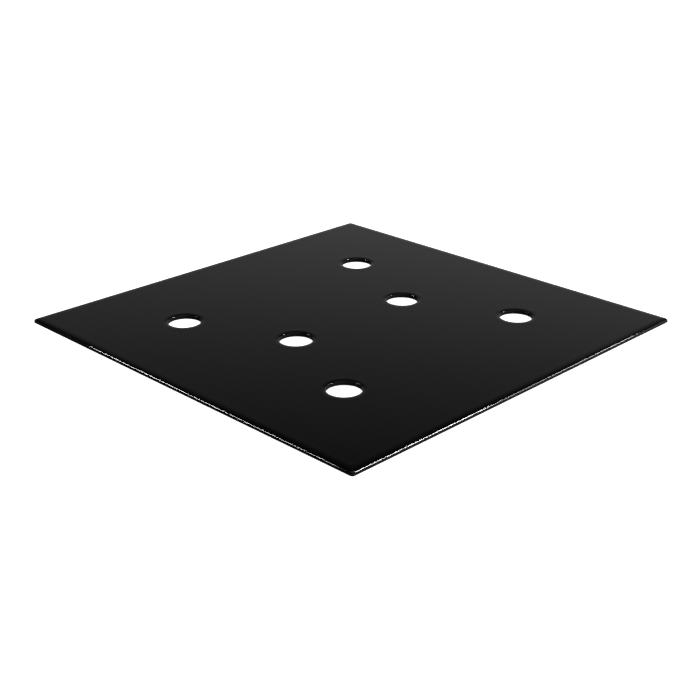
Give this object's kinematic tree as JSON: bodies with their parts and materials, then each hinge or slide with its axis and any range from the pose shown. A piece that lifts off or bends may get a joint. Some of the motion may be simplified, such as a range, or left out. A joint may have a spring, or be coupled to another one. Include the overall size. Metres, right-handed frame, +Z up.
{
  "type": "fence post cap plate",
  "caption": "Flat square steel plate with round through-holes in two mirrored triangles and a gloss black coat, that caps or bridges fence posts.",
  "frame": {"origin": "centre of the plate's underside, the face that rests on the post or bracket", "axes": "+Z up through the thickness, out of the upper face; +X and +Y along the plate's sides, with the inner pair of holes on the X axis"},
  "size_m": [0.3048, 0.3048, 0.0032],
  "materials": {
    "powder_coat": "smooth gloss black powder coat, slightly built up along the edges and hole rims"
  },
  "bodies": {
    "root": {"cap_plate": "powder_coat"}
  },
  "joints": []
}
